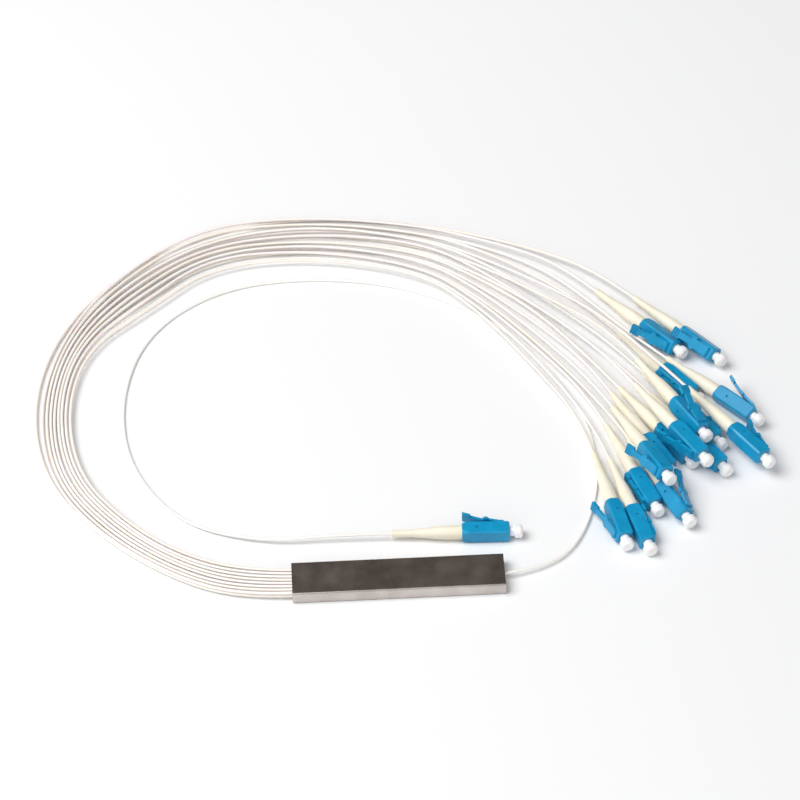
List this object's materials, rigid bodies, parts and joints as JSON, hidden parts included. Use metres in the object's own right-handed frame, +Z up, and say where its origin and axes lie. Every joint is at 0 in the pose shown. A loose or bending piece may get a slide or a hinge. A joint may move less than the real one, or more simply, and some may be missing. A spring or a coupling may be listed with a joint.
{
  "type": "fibre optic splitter",
  "caption": "Flat steel tube splitting one optical fibre into many: loose thin tails leave both ends, coil together and end in small latched plugs with dust caps.",
  "frame": {"origin": "centre of the underside of the steel tube", "axes": "+X along the tube towards the end with the single input tail, +Z up from the surface the object lies on"},
  "size_m": [0.2161, 0.1577, 0.0145],
  "materials": {
    "steel_tube": "satin drawn steel, warm grey",
    "epoxy": "cured clear epoxy",
    "chip_glass": "polished silica",
    "fibre": "coated glass fibre",
    "tail_tube": "translucent white loose tube",
    "plug_housing": "moulded blue",
    "boot": "soft cream moulding",
    "ferrule": "ground zirconia",
    "dust_cap": "slightly translucent white"
  },
  "bodies": {
    "splitter": {"steel_tube": "steel_tube", "input_end_seal": "epoxy", "output_end_seal": "epoxy", "waveguide_chip": "chip_glass", "input_fibre_block": "chip_glass", "output_fibre_block": "chip_glass", "bare_fibres": "fibre", "plug_boots": "boot", "plug_ferrules": "ferrule", "plug_input": "plug_housing", "plug_output_01": "plug_housing", "plug_output_02": "plug_housing", "plug_output_03": "plug_housing", "plug_output_04": "plug_housing", "plug_output_05": "plug_housing", "plug_output_06": "plug_housing", "plug_output_07": "plug_housing", "plug_output_08": "plug_housing", "plug_output_09": "plug_housing", "plug_output_10": "plug_housing", "plug_output_11": "plug_housing", "plug_output_12": "plug_housing", "plug_output_13": "plug_housing", "plug_output_14": "plug_housing", "plug_output_15": "plug_housing", "plug_output_16": "plug_housing", "cord_input": "tail_tube", "cord_output_01": "tail_tube", "cord_output_02": "tail_tube", "cord_output_03": "tail_tube", "cord_output_04": "tail_tube", "cord_output_05": "tail_tube", "cord_output_06": "tail_tube", "cord_output_07": "tail_tube", "cord_output_08": "tail_tube", "cord_output_09": "tail_tube", "cord_output_10": "tail_tube", "cord_output_11": "tail_tube", "cord_output_12": "tail_tube", "cord_output_13": "tail_tube", "cord_output_14": "tail_tube", "cord_output_15": "tail_tube", "cord_output_16": "tail_tube"},
    "cap_input": {"dust_cap_input": "dust_cap"},
    "cap_output_01": {"dust_cap_output_01": "dust_cap"},
    "cap_output_02": {"dust_cap_output_02": "dust_cap"},
    "cap_output_03": {"dust_cap_output_03": "dust_cap"},
    "cap_output_04": {"dust_cap_output_04": "dust_cap"},
    "cap_output_05": {"dust_cap_output_05": "dust_cap"},
    "cap_output_06": {"dust_cap_output_06": "dust_cap"},
    "cap_output_07": {"dust_cap_output_07": "dust_cap"},
    "cap_output_08": {"dust_cap_output_08": "dust_cap"},
    "cap_output_09": {"dust_cap_output_09": "dust_cap"},
    "cap_output_10": {"dust_cap_output_10": "dust_cap"},
    "cap_output_11": {"dust_cap_output_11": "dust_cap"},
    "cap_output_12": {"dust_cap_output_12": "dust_cap"},
    "cap_output_13": {"dust_cap_output_13": "dust_cap"},
    "cap_output_14": {"dust_cap_output_14": "dust_cap"},
    "cap_output_15": {"dust_cap_output_15": "dust_cap"},
    "cap_output_16": {"dust_cap_output_16": "dust_cap"}
  },
  "joints": [
    {"name": "cap_slide_input", "type": "slide", "parent": "splitter", "child": "cap_input", "axis": [0.9995, -0.0303, 0], "range_m": [0, 0.005]},
    {"name": "cap_slide_output_01", "type": "slide", "parent": "splitter", "child": "cap_output_01", "axis": [0.6376, -0.7704, 0], "range_m": [0, 0.005]},
    {"name": "cap_slide_output_02", "type": "slide", "parent": "splitter", "child": "cap_output_02", "axis": [0.6376, -0.7704, 0], "range_m": [0, 0.005]},
    {"name": "cap_slide_output_03", "type": "slide", "parent": "splitter", "child": "cap_output_03", "axis": [0.666, -0.7459, 0], "range_m": [0, 0.005]},
    {"name": "cap_slide_output_04", "type": "slide", "parent": "splitter", "child": "cap_output_04", "axis": [0.5806, -0.8142, 0], "range_m": [0, 0.005]},
    {"name": "cap_slide_output_05", "type": "slide", "parent": "splitter", "child": "cap_output_05", "axis": [0.565, -0.8243, -0.0366], "range_m": [0, 0.005]},
    {"name": "cap_slide_output_06", "type": "slide", "parent": "splitter", "child": "cap_output_06", "axis": [0.5377, -0.8431, 0], "range_m": [0, 0.005]},
    {"name": "cap_slide_output_07", "type": "slide", "parent": "splitter", "child": "cap_output_07", "axis": [0.4657, -0.8849, -0.0067], "range_m": [0, 0.005]},
    {"name": "cap_slide_output_08", "type": "slide", "parent": "splitter", "child": "cap_output_08", "axis": [0.5047, -0.8633, 0], "range_m": [0, 0.005]},
    {"name": "cap_slide_output_09", "type": "slide", "parent": "splitter", "child": "cap_output_09", "axis": [0.4896, -0.8719, -0.0067], "range_m": [0, 0.005]},
    {"name": "cap_slide_output_10", "type": "slide", "parent": "splitter", "child": "cap_output_10", "axis": [0.5076, -0.8616, 0], "range_m": [0, 0.005]},
    {"name": "cap_slide_output_11", "type": "slide", "parent": "splitter", "child": "cap_output_11", "axis": [0.4068, -0.9135, 0], "range_m": [0, 0.005]},
    {"name": "cap_slide_output_12", "type": "slide", "parent": "splitter", "child": "cap_output_12", "axis": [0.3534, -0.9269, 0.1267], "range_m": [0, 0.005]},
    {"name": "cap_slide_output_13", "type": "slide", "parent": "splitter", "child": "cap_output_13", "axis": [0.3907, -0.9205, 0], "range_m": [0, 0.005]},
    {"name": "cap_slide_output_14", "type": "slide", "parent": "splitter", "child": "cap_output_14", "axis": [0.3202, -0.9473, 0], "range_m": [0, 0.005]},
    {"name": "cap_slide_output_15", "type": "slide", "parent": "splitter", "child": "cap_output_15", "axis": [0.2283, -0.9736, 0], "range_m": [0, 0.005]},
    {"name": "cap_slide_output_16", "type": "slide", "parent": "splitter", "child": "cap_output_16", "axis": [0.173, -0.9849, 0], "range_m": [0, 0.005]}
  ]
}
